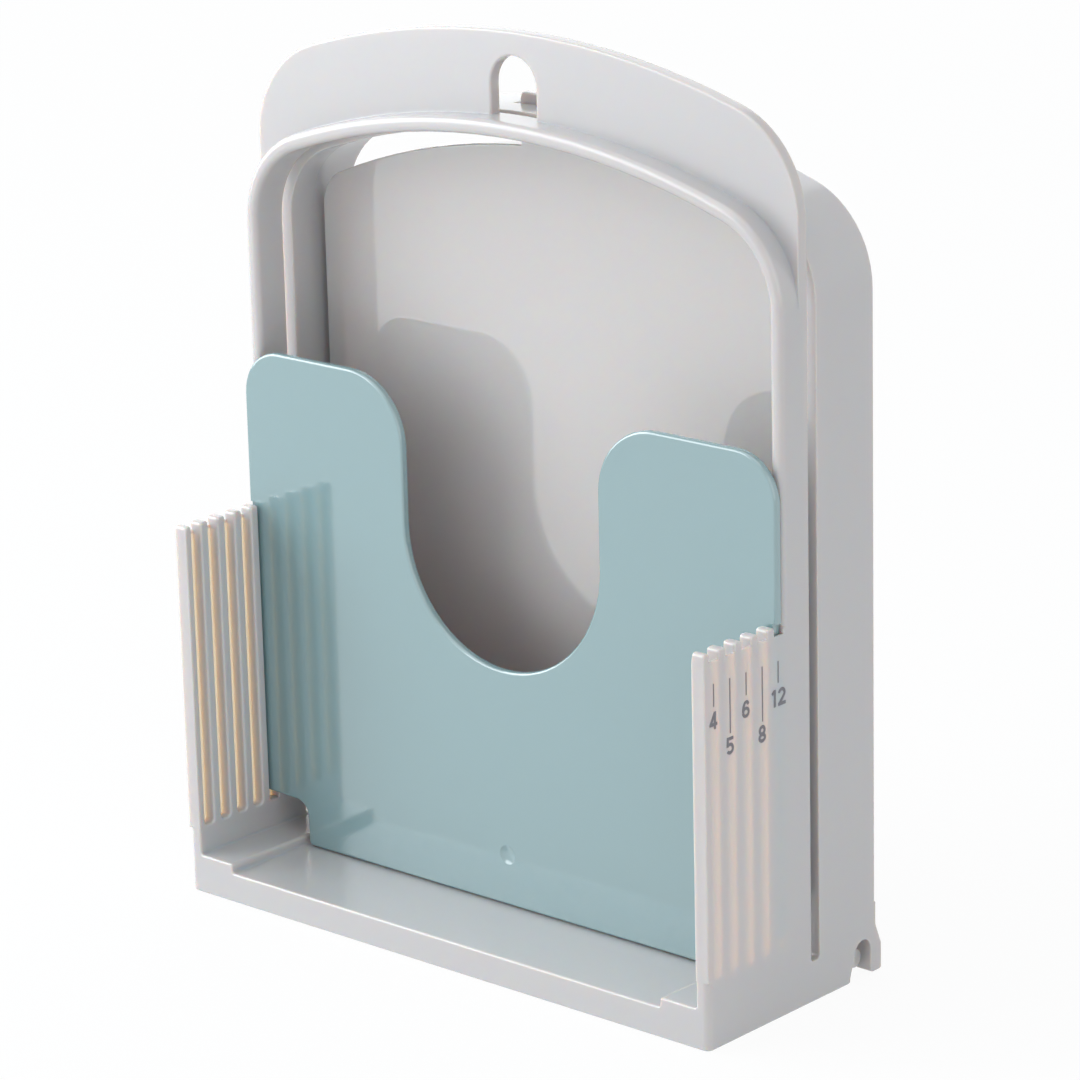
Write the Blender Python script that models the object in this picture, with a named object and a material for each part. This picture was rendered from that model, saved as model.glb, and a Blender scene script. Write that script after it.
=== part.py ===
"""Folding bread slicer guide: a moulded body, a lift-out stopper plate and a fold-down tray.

Metres, +Z up. The guide stands at Z = 0 with its middle over the origin. The loaf runs along Y,
from the tray at the rear (+Y) to the slice bay at the front. Places along Y are measured from
the front edge of the body, and one parent empty moves the whole guide onto the origin.
"""

import bmesh
import bpy
from math import acos, atan2, ceil, cos, pi, radians, sin, sqrt
from mathutils import Matrix, Vector

# Loaf channel and walls of the body
LOAF_WIDTH = 0.1200
LEDGE_WIDTH = 0.0094
LEDGE_HEIGHT = 0.0021
WALL = 0.0031
FLOOR_HEIGHT = 0.0066
SIDE_SILL_HEIGHT = 0.0145
BASE_EDGE_RADIUS = 0.0006
BASE_CORNER_RADIUS = 0.0015
CHANNEL_RIM_RADIUS = 0.0004
LEDGE_FILLET = 0.0006

# Hollow underside of the base
UNDERSIDE_DEPTH = 0.0036
UNDERSIDE_WALL = 0.0024
UNDERSIDE_RIB = 0.0020
UNDERSIDE_CORNER_RADIUS = 0.0015
UNDERSIDE_CELLS_ACROSS = 4

# Combs that hold the stopper plate, one groove for each slice thickness
SLICE_STEP = 0.0050
GROOVE_COUNT = 5
GROOVE_WIDTH = 0.0027
FRONT_RIB = 0.00175
COMB_SKIN = 0.0006
COMB_TOP = 0.0824
COMB_SKIN_DROP = 0.0020
GROOVE_RISE = 0.0005
GROOVE_BOTTOM_RADIUS = 0.0008
RIB_TOP_RADIUS = 0.0007
RIB_INNER_RADIUS = 0.0005
RIB_OUTER_RADIUS = 0.00035

# Front arch, crown plate and hanging hole
FRONT_ARCH_DEPTH = 0.00805
ARCH_TOP = 0.1736
ARCH_CROWN_RADIUS = 0.1820
ARCH_CORNER_RADIUS = 0.0210
FRONT_ROOF = 0.0034
ARCH_RIM_RADIUS = 0.0013
CROWN_THICKNESS = 0.0026
CROWN_RISE = 0.0174
CROWN_RADIUS = 0.1920
CROWN_CORNER_RADIUS = 0.0220
CROWN_EDGE_RADIUS = 0.0004
HANGING_HOLE_WIDTH = 0.0122
HANGING_HOLE_MARGIN = 0.0049

# Knife slit between the two arches
SLIT_WIDTH = 0.0028
SLIT_BOTTOM = 0.0089
SLIT_END_RADIUS = 0.0008

# Rear arch with its stop lip and tab notch
REAR_ARCH_DEPTH = 0.01835
REAR_ROOF = 0.0037
REAR_RIM_RADIUS = 0.0005
LIP_DEPTH = 0.0067
LIP_ROOF = 0.0045
TAB_NOTCH_GAP = 0.0015

# Hinge cheeks at the rear corners
CHEEK_THICKNESS = 0.0038
HINGE_HEIGHT = 0.0038
TRUNNION_RADIUS = 0.00195
TRUNNION_SIDE_GAP = 0.0007
NOTCH_RISE = 0.00195
CHEEK_TOE = 0.0013
CHEEK_TOE_HEIGHT = 0.0030
HOOK_BULGE = 0.00185
HOOK_BULGE_HEIGHT = 0.0061
HOOK_TOP_HEIGHT = 0.0106
HOOK_FOOT_HEIGHT = 0.0005
HOOK_EDGE_RADIUS = 0.0006

# Fold-down tray
TRAY_INSET = 0.00045
TRAY_DEPTH = 0.0102
TRAY_SKIN = 0.0020
TRAY_SIDE_GAP = 0.0021
TRAY_TOP_DROP = 0.0087
TRAY_CROWN_RADIUS = 0.1620
TRAY_CORNER_RADIUS = 0.0085
TRAY_BOTTOM_LIFT = 0.0013
TRAY_EDGE_RADIUS = 0.0004
TRAY_LIP_DEPTH = 0.0040
TRAY_LIP_START = 0.0180
TRAY_LIP_SLOPE = 0.0160
TRAY_LIP_BLEND = 0.0060
TRAY_BASE_GAP = 0.0006
TRAY_TABLE_GAP = 0.0001
TRUNNION_LENGTH = 0.0031
TAB_WIDTH = 0.0196
TAB_PROUD = 0.0021
TAB_CORNER_RADIUS = 0.0008
TAB_GAP = 0.0003

# Stopper plate
PLATE_THICKNESS = 0.0019
PLATE_GAP = 0.0003
PLATE_TOP = 0.1167
PLATE_OUTER_RADIUS = 0.0100
PLATE_INNER_RADIUS = 0.0150
PLATE_NOTCH_WIDTH = 0.0536
PLATE_NOTCH_BOTTOM = 0.0587
PLATE_TONGUE_GAP = 0.0014
PLATE_TONGUE_FILLET = 0.0035
PLATE_WING_LIFT = 0.0016
PLATE_WING_RISE = 0.0005
PLATE_WING_RADIUS = 0.0010
PLATE_EDGE_RADIUS = 0.0006
DIMPLE_RADIUS = 0.0022
DIMPLE_DEPTH = 0.0004
DIMPLE_HEIGHT = 0.0182

# Fineness of curved faces, overrun of cuts and joints, and weld distance
CHORD_ERROR = 0.00003
OVERRUN = 0.0015
SEAT_OVERLAP = 0.0010
WELD = 0.000002
GRID = 0.0000001
EDGE_SEGMENTS = 3
ROUND_SIDES = 32
FLAT_ANGLE = radians(0.4)
SHARP_ANGLE = radians(35)

# Places across the guide, from its middle plane
LEDGE_EDGE = LOAF_WIDTH / 2
INNER_HALF = LEDGE_EDGE + LEDGE_WIDTH
OUTER_HALF = INNER_HALF + WALL
TRAY_HALF = INNER_HALF - TRAY_SIDE_GAP

# Places along the guide, from its front edge
LAST_GROOVE = FRONT_RIB + GROOVE_WIDTH / 2 + (GROOVE_COUNT - 1) * SLICE_STEP
ARCH_FRONT = LAST_GROOVE + GROOVE_WIDTH / 2
SLIT_FRONT = ARCH_FRONT + FRONT_ARCH_DEPTH
SLIT_REAR = SLIT_FRONT + SLIT_WIDTH
ARCH_REAR = SLIT_REAR + REAR_ARCH_DEPTH
HOOK_REAR = ARCH_REAR + HOOK_BULGE
TRAY_REAR = ARCH_REAR - TRAY_INSET
TRAY_FRONT = TRAY_REAR - TRAY_DEPTH
HINGE_Y = TRAY_REAR - HINGE_HEIGHT + TRAY_TABLE_GAP
ARM_RADIUS = TRAY_REAR - HINGE_Y
BASE_REAR = HINGE_Y - ARM_RADIUS - TRAY_BASE_GAP
PLATE_FRONT = ARCH_FRONT - PLATE_GAP - PLATE_THICKNESS

# Heights
LEDGE_TOP = FLOOR_HEIGHT + LEDGE_HEIGHT
GROOVE_BOTTOM = SIDE_SILL_HEIGHT + GROOVE_RISE
TRAY_BOTTOM = LEDGE_TOP + TRAY_BOTTOM_LIFT
TRAY_TOP = ARCH_TOP - TRAY_TOP_DROP
TAB_TOP = ARCH_TOP + TAB_PROUD
CROWN_TOP = ARCH_TOP + CROWN_RISE
HANGING_HOLE_TOP = CROWN_TOP - HANGING_HOLE_MARGIN
PLATE_SHOULDER = COMB_TOP + PLATE_GAP


class ArchShape:
    """A flat-sided arch: straight sides, round corners and one wide crown arc."""

    def __init__(self, half_width, top, crown_radius, corner_radius):
        self.half_width = half_width
        self.top = top
        self.crown_radius = crown_radius
        self.corner_radius = corner_radius

    def inset(self, side, roof):
        """The same arch drawn in by a side wall and a roof thickness."""
        corner_radius = self.corner_radius - max(side, roof)
        return ArchShape(self.half_width - side, self.top - roof, self.crown_radius - roof, corner_radius)

    def path(self, foot):
        """Points up the right side, over the crown and down the left side."""
        crown_z = self.top - self.crown_radius
        corner_x = self.half_width - self.corner_radius
        reach = self.crown_radius - self.corner_radius
        corner_z = crown_z + sqrt(reach ** 2 - corner_x ** 2)
        meet = atan2(corner_z - crown_z, corner_x)
        right = [(self.half_width, foot)]
        right += arc((corner_x, corner_z), self.corner_radius, 0, meet)
        right += arc((0, crown_z), self.crown_radius, meet, pi / 2)[1:]
        left = [(-x, z) for x, z in reversed(right[:-1])]
        return right + left


def arc(center, radius, start, end):
    """Points on an arc, close enough together to keep the chord error."""
    step = 2 * acos(1 - CHORD_ERROR / radius)
    count = max(2, ceil(abs(end - start) / step))
    angles = [start + (end - start) * i / count for i in range(count + 1)]
    return [(center[0] + radius * cos(a), center[1] + radius * sin(a)) for a in angles]


def filleted(corners):
    """A closed outline from corners given as (a, b, radius)."""
    points = []
    for i, (a, b, radius) in enumerate(corners):
        here = Vector((a, b))
        if not radius:
            points.append((a, b))
            continue
        before = Vector(corners[i - 1][:2])
        after = Vector(corners[(i + 1) % len(corners)][:2])
        back = (before - here).normalized()
        ahead = (after - here).normalized()
        half_angle = back.angle(ahead) / 2
        middle = (back + ahead).normalized()
        center = here + middle * (radius / sin(half_angle))
        touch = here + back * (radius / (sin(half_angle) / cos(half_angle)))
        start = atan2(touch.y - center.y, touch.x - center.x)
        turn = pi - 2 * half_angle
        side = back.x * ahead.y - back.y * ahead.x
        sweep = turn if side < 0 else -turn
        points += arc(center, radius, start, start + sweep)
    return points


def mirrored(right):
    """Corners of a closed outline from its right half, listed from bottom to top."""
    return right + [(-a, b, radius) for a, b, radius in reversed(right)]


PLANES = {
    "X": Matrix(((0, 0, 1, 0), (1, 0, 0, 0), (0, 1, 0, 0), (0, 0, 0, 1))),
    "Y": Matrix(((1, 0, 0, 0), (0, 0, -1, 0), (0, 1, 0, 0), (0, 0, 0, 1))),
    "Z": Matrix.Identity(4),
}


def extruded(name, outline, axis, low, high):
    """A solid from a flat outline, pushed along one axis between two places."""
    curve = bpy.data.curves.new(name + "_outline", "CURVE")
    curve.dimensions = "2D"
    curve.fill_mode = "BOTH"
    curve.extrude = (high - low) / 2
    spline = curve.splines.new("POLY")
    spline.points.add(len(outline) - 1)
    for point, (a, b) in zip(spline.points, outline):
        point.co = (a, b, 0, 1)
    spline.use_cyclic_u = True
    guide = bpy.data.objects.new(name + "_outline", curve)
    bpy.context.scene.collection.objects.link(guide)
    middle = (low + high) / 2
    shift = Matrix.Translation(Vector([middle if letter == axis else 0 for letter in "XYZ"]))
    guide.matrix_world = shift @ PLANES[axis]
    bpy.context.view_layer.update()
    graph = bpy.context.evaluated_depsgraph_get()
    mesh = bpy.data.meshes.new_from_object(guide.evaluated_get(graph))
    mesh.transform(guide.matrix_world)
    bpy.data.objects.remove(guide)
    piece = new_object(name, mesh)
    edit_mesh(piece, weld_and_flatten)
    return piece


def box(name, low, high):
    """A plain block between two corners."""
    outline = [(low[0], low[1]), (high[0], low[1]), (high[0], high[1]), (low[0], high[1])]
    return extruded(name, outline, "Z", low[2], high[2])


def cylinder_x(name, radius, low, high, y, z):
    """A round pin along X."""
    matrix = Matrix.Translation(((low + high) / 2, y, z)) @ Matrix.Rotation(pi / 2, 4, "Y")
    mesh = bpy.data.meshes.new(name)
    work = bmesh.new()
    bmesh.ops.create_cone(
        work, cap_ends=True, segments=ROUND_SIDES, radius1=radius, radius2=radius,
        depth=high - low, matrix=matrix)
    work.to_mesh(mesh)
    work.free()
    return new_object(name, mesh)


def new_object(name, mesh):
    """A construction object, hidden from renders until it becomes a part."""
    piece = bpy.data.objects.new(name, mesh)
    piece.hide_render = True
    piece.display_type = "WIRE"
    bpy.data.collections[CONSTRUCTION].objects.link(piece)
    return piece


def edit_mesh(piece, change):
    """Run one change on a piece's mesh."""
    work = bmesh.new()
    work.from_mesh(piece.data)
    change(work)
    work.to_mesh(piece.data)
    work.free()


def weld_and_flatten(work):
    """Join loose caps to their walls, turn flat triangles into one face and settle shared planes."""
    bmesh.ops.remove_doubles(work, verts=work.verts, dist=WELD)
    bmesh.ops.dissolve_limit(work, angle_limit=FLAT_ANGLE, verts=work.verts, edges=work.edges)
    bmesh.ops.recalc_face_normals(work, faces=work.faces)
    settle(work)


def settle(work):
    """Put every point on a fine grid, so that faces meant to be flush are exactly flush."""
    for vert in work.verts:
        vert.co = [round(value / GRID) * GRID for value in vert.co]


def round_edges(piece, radius, wanted):
    """Round the sharp edges whose two ends both pass a test."""
    def change(work):
        chosen = []
        for edge in work.edges:
            sharp = len(edge.link_faces) == 2 and edge.calc_face_angle() > SHARP_ANGLE
            if sharp and all(wanted(vert.co) for vert in edge.verts):
                chosen.append(edge)
        bmesh.ops.bevel(
            work, geom=chosen, offset=radius, segments=EDGE_SEGMENTS, profile=0.5,
            affect="EDGES", offset_type="OFFSET", clamp_overlap=False)
    edit_mesh(piece, change)


def near(value, target):
    """True where a coordinate lies on a plane."""
    return abs(value - target) < SEAT_OVERLAP / 10


def combine(base, tools, operation):
    """Join tools to a piece, or cut them from it, one exact Boolean at a time."""
    for tool in tools:
        modifier = base.modifiers.new(tool.name, "BOOLEAN")
        modifier.operation = operation
        modifier.solver = "EXACT"
        modifier.object = tool
    bpy.context.view_layer.update()
    graph = bpy.context.evaluated_depsgraph_get()
    mesh = bpy.data.meshes.new_from_object(base.evaluated_get(graph))
    base.modifiers.clear()
    base.data = mesh


def plastic(name, colour, roughness):
    """A moulded plastic."""
    material = bpy.data.materials.new(name)
    material.use_nodes = True
    shader = material.node_tree.nodes["Principled BSDF"]
    shader.inputs["Base Color"].default_value = (*colour, 1)
    shader.inputs["Roughness"].default_value = roughness
    shader.inputs["Metallic"].default_value = 0
    return material


def body_plastic():
    """Pale warm grey, glossy."""
    return plastic("pale_grey_plastic", (0.68, 0.67, 0.66), 0.28)


def plate_plastic():
    """Grey-blue green, glossy."""
    return plastic("blue_green_plastic", (0.33, 0.50, 0.52), 0.25)


def tray_plastic():
    """The body's grey with a higher polish."""
    return plastic("polished_grey_plastic", (0.68, 0.67, 0.66), 0.12)


def underside_cells():
    """Cutters that hollow the base from below, with ribs left between them."""
    span = 2 * (OUTER_HALF - UNDERSIDE_WALL)
    cell = (span - (UNDERSIDE_CELLS_ACROSS - 1) * UNDERSIDE_RIB) / UNDERSIDE_CELLS_ACROSS
    middle = BASE_REAR / 2
    rows = [
        (UNDERSIDE_WALL, middle - UNDERSIDE_RIB / 2),
        (middle + UNDERSIDE_RIB / 2, BASE_REAR - UNDERSIDE_WALL),
    ]
    cells = []
    for column in range(UNDERSIDE_CELLS_ACROSS):
        left = -span / 2 + column * (cell + UNDERSIDE_RIB)
        for front, rear in rows:
            radius = UNDERSIDE_CORNER_RADIUS
            corners = [(left, front, radius), (left + cell, front, radius)]
            corners += [(left + cell, rear, radius), (left, rear, radius)]
            name = f"underside_cell_{len(cells) + 1}"
            cells.append(extruded(name, filleted(corners), "Z", -OVERRUN, UNDERSIDE_DEPTH))
    return cells


def channel():
    """Cutter for the loaf channel, its two ledges and the space between the sills."""
    top = SIDE_SILL_HEIGHT + OVERRUN
    right = [
        (LEDGE_EDGE, FLOOR_HEIGHT, LEDGE_FILLET),
        (LEDGE_EDGE, LEDGE_TOP, LEDGE_FILLET),
        (INNER_HALF, LEDGE_TOP, LEDGE_FILLET),
        (INNER_HALF, top, 0),
    ]
    return extruded("loaf_channel", filleted(mirrored(right)), "Y", -OVERRUN, BASE_REAR + OVERRUN)


def base():
    """The standing base: floor, ledges and low side sills."""
    corners = [
        (-OUTER_HALF, 0, BASE_CORNER_RADIUS), (OUTER_HALF, 0, BASE_CORNER_RADIUS),
        (OUTER_HALF, BASE_REAR, 0), (-OUTER_HALF, BASE_REAR, 0),
    ]
    piece = extruded("base_block", filleted(corners), "Z", 0, SIDE_SILL_HEIGHT)
    round_edges(piece, BASE_EDGE_RADIUS, lambda co: near(co.z, 0))
    combine(piece, [channel()], "DIFFERENCE")

    def on_channel_rim(co):
        return near(co.y, 0) and co.z > UNDERSIDE_DEPTH and abs(co.x) < INNER_HALF + COMB_SKIN

    round_edges(piece, CHANNEL_RIM_RADIUS, on_channel_rim)
    combine(piece, underside_cells(), "DIFFERENCE")
    return piece


def comb_outline():
    """Side view of the ribs: round-cornered tops and round-bottomed grooves."""
    foot = SIDE_SILL_HEIGHT / 2
    corners = [
        (BASE_CORNER_RADIUS, foot, 0), (BASE_CORNER_RADIUS, SIDE_SILL_HEIGHT, 0),
        (0, SIDE_SILL_HEIGHT, 0), (0, COMB_TOP, RIB_TOP_RADIUS),
    ]
    for i in range(GROOVE_COUNT):
        front = FRONT_RIB + i * SLICE_STEP
        rear = front + GROOVE_WIDTH
        corners.append((front, COMB_TOP, RIB_TOP_RADIUS))
        corners.append((front, GROOVE_BOTTOM, GROOVE_BOTTOM_RADIUS))
        if i < GROOVE_COUNT - 1:
            corners.append((rear, GROOVE_BOTTOM, GROOVE_BOTTOM_RADIUS))
            corners.append((rear, COMB_TOP, RIB_TOP_RADIUS))
    corners.append((ARCH_FRONT + SEAT_OVERLAP, GROOVE_BOTTOM, 0))
    corners.append((ARCH_FRONT + SEAT_OVERLAP, foot, 0))
    return filleted(corners)


def comb(side):
    """The ribs of one side wall and the thin skin that closes their grooves outside."""
    name = "right" if side > 0 else "left"
    ends = sorted((side * INNER_HALF, side * OUTER_HALF))
    ribs = extruded(name + "_ribs", comb_outline(), "X", *ends)

    def above_sill(co):
        return co.z > SIDE_SILL_HEIGHT + GRID

    round_edges(ribs, RIB_INNER_RADIUS, lambda co: above_sill(co) and near(abs(co.x), INNER_HALF))
    round_edges(ribs, RIB_OUTER_RADIUS, lambda co: above_sill(co) and near(abs(co.x), OUTER_HALF))
    skin_ends = sorted((side * (OUTER_HALF - COMB_SKIN), side * OUTER_HALF))
    low = (skin_ends[0], 0, SIDE_SILL_HEIGHT + GROOVE_RISE / 2)
    high = (skin_ends[1], ARCH_FRONT + SEAT_OVERLAP, COMB_TOP - COMB_SKIN_DROP)
    skin = box(name + "_skin", low, high)
    return [ribs, skin]


def arch_shape():
    """Outer outline of both arches."""
    return ArchShape(OUTER_HALF, ARCH_TOP, ARCH_CROWN_RADIUS, ARCH_CORNER_RADIUS)


def band(name, outer, inner, foot, front, rear):
    """An arch with an open foot, between an outer and an inner outline."""
    outline = outer.path(foot) + list(reversed(inner.path(foot)))
    return extruded(name, outline, "Y", front, rear)


def front_arch():
    """The arch in front of the knife slit, with a rounded front rim."""
    shape = arch_shape()
    inner = shape.inset(WALL, FRONT_ROOF)
    foot = SIDE_SILL_HEIGHT / 2
    piece = band("front_arch", shape, inner, foot, ARCH_FRONT, SLIT_FRONT + SEAT_OVERLAP)
    round_edges(piece, ARCH_RIM_RADIUS, lambda co: near(co.y, ARCH_FRONT) and co.z > foot)
    return piece


def crown():
    """The raised plate on top of the front arch, with its hanging hole."""
    shape = ArchShape(OUTER_HALF, CROWN_TOP, CROWN_RADIUS, CROWN_CORNER_RADIUS)
    inner = arch_shape().inset(WALL / 2, FRONT_ROOF / 2)
    foot = ARCH_TOP - ARCH_CORNER_RADIUS * 2
    front = SLIT_FRONT - CROWN_THICKNESS
    piece = band("crown_plate", shape, inner, foot, front, SLIT_FRONT + SEAT_OVERLAP)
    half = HANGING_HOLE_WIDTH / 2
    right = [(half, ARCH_TOP - FRONT_ROOF, 0), (half, HANGING_HOLE_TOP, half)]
    hole = extruded("hanging_hole", filleted(mirrored(right)), "Y", front - OVERRUN, SLIT_REAR)
    combine(piece, [hole], "DIFFERENCE")
    round_edges(piece, CROWN_EDGE_RADIUS, lambda co: near(co.y, front) and co.z > ARCH_TOP - FRONT_ROOF)
    return piece


def rear_arch():
    """The deep arch behind the knife slit, and the lip inside it ahead of the tray."""
    shape = arch_shape()
    inner = shape.inset(WALL, REAR_ROOF)
    foot = SIDE_SILL_HEIGHT - SEAT_OVERLAP
    piece = band("rear_arch", shape, inner, foot, SLIT_REAR - SEAT_OVERLAP, ARCH_REAR)
    round_edges(piece, REAR_RIM_RADIUS, lambda co: near(co.y, ARCH_REAR) and co.z > foot)
    middle = shape.inset(WALL / 2, REAR_ROOF / 2)
    lip_inner = shape.inset(WALL, LIP_ROOF)
    lip = band("rear_lip", middle, lip_inner, foot, SLIT_REAR - SEAT_OVERLAP, SLIT_REAR + LIP_DEPTH)
    return [piece, lip]


def cheek(side):
    """The hinge corner of one side: a notch for the trunnion and the hook behind it."""
    notch_half = TRUNNION_RADIUS + TRUNNION_SIDE_GAP
    notch_top = HINGE_HEIGHT + NOTCH_RISE + notch_half
    notch_front = HINGE_Y - notch_half
    notch_rear = HINGE_Y + notch_half
    corners = [
        (SLIT_REAR + LIP_DEPTH, CHEEK_TOE, 0),
        (BASE_REAR, CHEEK_TOE, 0),
        (BASE_REAR + HOOK_EDGE_RADIUS, CHEEK_TOE_HEIGHT, 0),
        (notch_front, HINGE_HEIGHT + NOTCH_RISE, 0),
        (notch_front, notch_top, notch_half - CHORD_ERROR),
        (notch_rear, notch_top, notch_half - CHORD_ERROR),
        (notch_rear, HOOK_FOOT_HEIGHT, HOOK_EDGE_RADIUS),
        (HOOK_REAR, HOOK_FOOT_HEIGHT, HOOK_EDGE_RADIUS),
        (HOOK_REAR, HOOK_BULGE_HEIGHT, HOOK_EDGE_RADIUS * 2),
        (ARCH_REAR, HOOK_TOP_HEIGHT, HOOK_EDGE_RADIUS * 2),
        (ARCH_REAR, SIDE_SILL_HEIGHT + SEAT_OVERLAP, 0),
        (SLIT_REAR + LIP_DEPTH, SIDE_SILL_HEIGHT + SEAT_OVERLAP, 0),
    ]
    name = "right_cheek" if side > 0 else "left_cheek"
    ends = sorted((side * (OUTER_HALF - CHEEK_THICKNESS), side * OUTER_HALF))
    return extruded(name, filleted(corners), "X", *ends)


def knife_slit():
    """Cutter for the knife slit, open at the top and at both sides."""
    top = CROWN_TOP + OVERRUN
    corners = [
        (SLIT_FRONT, SLIT_BOTTOM, SLIT_END_RADIUS), (SLIT_REAR, SLIT_BOTTOM, SLIT_END_RADIUS),
        (SLIT_REAR, top, 0), (SLIT_FRONT, top, 0),
    ]
    reach = OUTER_HALF + OVERRUN
    return extruded("knife_slit", filleted(corners), "X", -reach, reach)


def tab_notch():
    """Cutter for the notch in the rear arch's roof that the tray's tab swings out of."""
    half = TAB_WIDTH / 2 + TAB_NOTCH_GAP
    low = (-half, TRAY_FRONT - TAB_GAP, ARCH_TOP - LIP_ROOF - OVERRUN)
    high = (half, ARCH_REAR + OVERRUN, ARCH_TOP + OVERRUN)
    return box("tab_notch", low, high)


def make_body():
    """The body moulding."""
    piece = base()
    forms = comb(1) + comb(-1) + [front_arch(), crown()] + rear_arch() + [cheek(1), cheek(-1)]
    combine(piece, forms, "UNION")
    combine(piece, [knife_slit(), tab_notch()], "DIFFERENCE")
    return piece


def make_plate():
    """The stopper plate, standing in the rearmost groove."""
    bottom = FLOOR_HEIGHT + PLATE_GAP
    wing_bottom = GROOVE_BOTTOM + PLATE_WING_LIFT
    tongue = LEDGE_EDGE - PLATE_TONGUE_GAP
    notch_half = PLATE_NOTCH_WIDTH / 2
    right = [
        (tongue, bottom, PLATE_WING_RADIUS),
        (tongue, wing_bottom, PLATE_TONGUE_FILLET),
        (OUTER_HALF, wing_bottom + PLATE_WING_RISE, PLATE_WING_RADIUS),
        (OUTER_HALF, PLATE_TOP, PLATE_OUTER_RADIUS),
        (notch_half, PLATE_TOP, PLATE_INNER_RADIUS),
        (notch_half, PLATE_NOTCH_BOTTOM, notch_half - CHORD_ERROR),
    ]
    rear = PLATE_FRONT + PLATE_THICKNESS
    piece = extruded("stopper_blank", filleted(mirrored(right)), "Y", PLATE_FRONT, rear)
    round_edges(piece, PLATE_EDGE_RADIUS, lambda co: True)
    combine(piece, [groove_clearance(1), groove_clearance(-1), dimple()], "DIFFERENCE")
    return piece


def groove_clearance(side):
    """Cutter that narrows the plate under its shoulder, where it stands in a groove."""
    name = "right_clearance" if side > 0 else "left_clearance"
    ends = sorted((side * (OUTER_HALF - COMB_SKIN - PLATE_GAP), side * (OUTER_HALF + OVERRUN)))
    low = (ends[0], PLATE_FRONT - OVERRUN, FLOOR_HEIGHT)
    high = (ends[1], ARCH_FRONT + OVERRUN, PLATE_SHOULDER)
    return box(name, low, high)


def dimple():
    """Cutter for the shallow round mark near the foot of the plate's front face."""
    mesh = bpy.data.meshes.new("dimple")
    ball_radius = (DIMPLE_RADIUS ** 2 + DIMPLE_DEPTH ** 2) / (2 * DIMPLE_DEPTH)
    place = Matrix.Translation((0, PLATE_FRONT + DIMPLE_DEPTH - ball_radius, DIMPLE_HEIGHT))
    turn = Matrix.Rotation(pi / 2, 4, "X")
    work = bmesh.new()
    bmesh.ops.create_uvsphere(
        work, u_segments=ROUND_SIDES, v_segments=ROUND_SIDES * 2, radius=ball_radius, matrix=place @ turn)
    work.to_mesh(mesh)
    work.free()
    return new_object("dimple", mesh)


def tray_shape():
    """Outline of the tray's panel."""
    return ArchShape(TRAY_HALF, TRAY_TOP, TRAY_CROWN_RADIUS, TRAY_CORNER_RADIUS)


def tray_hollow():
    """Cutter for the open rear side of the tray."""
    outline = tray_shape().inset(TRAY_SKIN, TRAY_SKIN).path(TRAY_BOTTOM + TRAY_SKIN)
    return extruded("tray_hollow", outline, "Y", TRAY_FRONT + TRAY_SKIN, TRAY_REAR + OVERRUN)


def tray_lip_cut():
    """Cutter that lowers the rim to a shallow lip round the top of the tray."""
    lip = TRAY_FRONT + TRAY_LIP_DEPTH
    start = TRAY_TOP - TRAY_LIP_START - TRAY_LIP_SLOPE
    rear = TRAY_REAR + OVERRUN
    corners = [
        (lip, TRAY_TOP + OVERRUN, 0), (lip, start + TRAY_LIP_SLOPE, TRAY_LIP_BLEND),
        (TRAY_REAR, start, TRAY_LIP_BLEND), (rear, start - OVERRUN, 0), (rear, TRAY_TOP + OVERRUN, 0),
    ]
    reach = TRAY_HALF + OVERRUN
    return extruded("tray_lip_cut", filleted(corners), "X", -reach, reach)


def tray_tab():
    """The finger tab that stands out through the roof of the rear arch."""
    half = TAB_WIDTH / 2
    foot = TRAY_TOP - TRAY_SKIN
    right = [(half, foot, 0), (half, TAB_TOP, TAB_CORNER_RADIUS)]
    piece = extruded("tray_tab", filleted(mirrored(right)), "Y", TRAY_FRONT, TRAY_FRONT + TRAY_SKIN)
    round_edges(piece, TRAY_EDGE_RADIUS, lambda co: co.z > TRAY_TOP + SEAT_OVERLAP)
    return piece


def tray_arm(side):
    """One side's hinge arm, rounded about the axis, and its trunnion."""
    name = "right" if side > 0 else "left"
    front = HINGE_Y - ARM_RADIUS
    bottom = HINGE_HEIGHT - ARM_RADIUS
    round_end = ARM_RADIUS - CHORD_ERROR
    top = TRAY_BOTTOM + TRAY_SKIN
    corners = [(front, bottom, round_end), (TRAY_REAR, bottom, round_end), (TRAY_REAR, top, 0), (front, top, 0)]
    ends = sorted((side * (TRAY_HALF - TRAY_SKIN), side * TRAY_HALF))
    arm = extruded(name + "_arm", filleted(corners), "X", *ends)
    pin_ends = sorted((side * (TRAY_HALF - TRAY_SKIN / 2), side * (TRAY_HALF + TRUNNION_LENGTH)))
    pin = cylinder_x(name + "_trunnion", TRUNNION_RADIUS, *pin_ends, HINGE_Y, HINGE_HEIGHT)
    return [arm, pin]


def make_tray():
    """The fold-down tray, standing closed inside the rear arch."""
    piece = extruded("tray_blank", tray_shape().path(TRAY_BOTTOM), "Y", TRAY_FRONT, TRAY_REAR)
    round_edges(piece, TRAY_EDGE_RADIUS, lambda co: near(co.y, TRAY_FRONT))
    combine(piece, [tray_hollow(), tray_lip_cut()], "DIFFERENCE")
    combine(piece, [tray_tab()] + tray_arm(1) + tray_arm(-1), "UNION")
    return piece


def finish(piece, name, material, origin, parent, collection):
    """Turn a construction object into a named part with its origin at a chosen point."""
    piece.name = name
    piece.data.name = name
    piece.data.transform(Matrix.Translation(-Vector(origin)))
    piece.data.materials.clear()
    piece.data.materials.append(material)
    piece.data.shade_smooth()
    piece.data.set_sharp_from_angle(angle=SHARP_ANGLE)
    piece.location = origin
    piece.parent = parent
    piece.hide_render = False
    piece.display_type = "TEXTURED"
    bpy.data.collections[CONSTRUCTION].objects.unlink(piece)
    collection.objects.link(piece)


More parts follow.
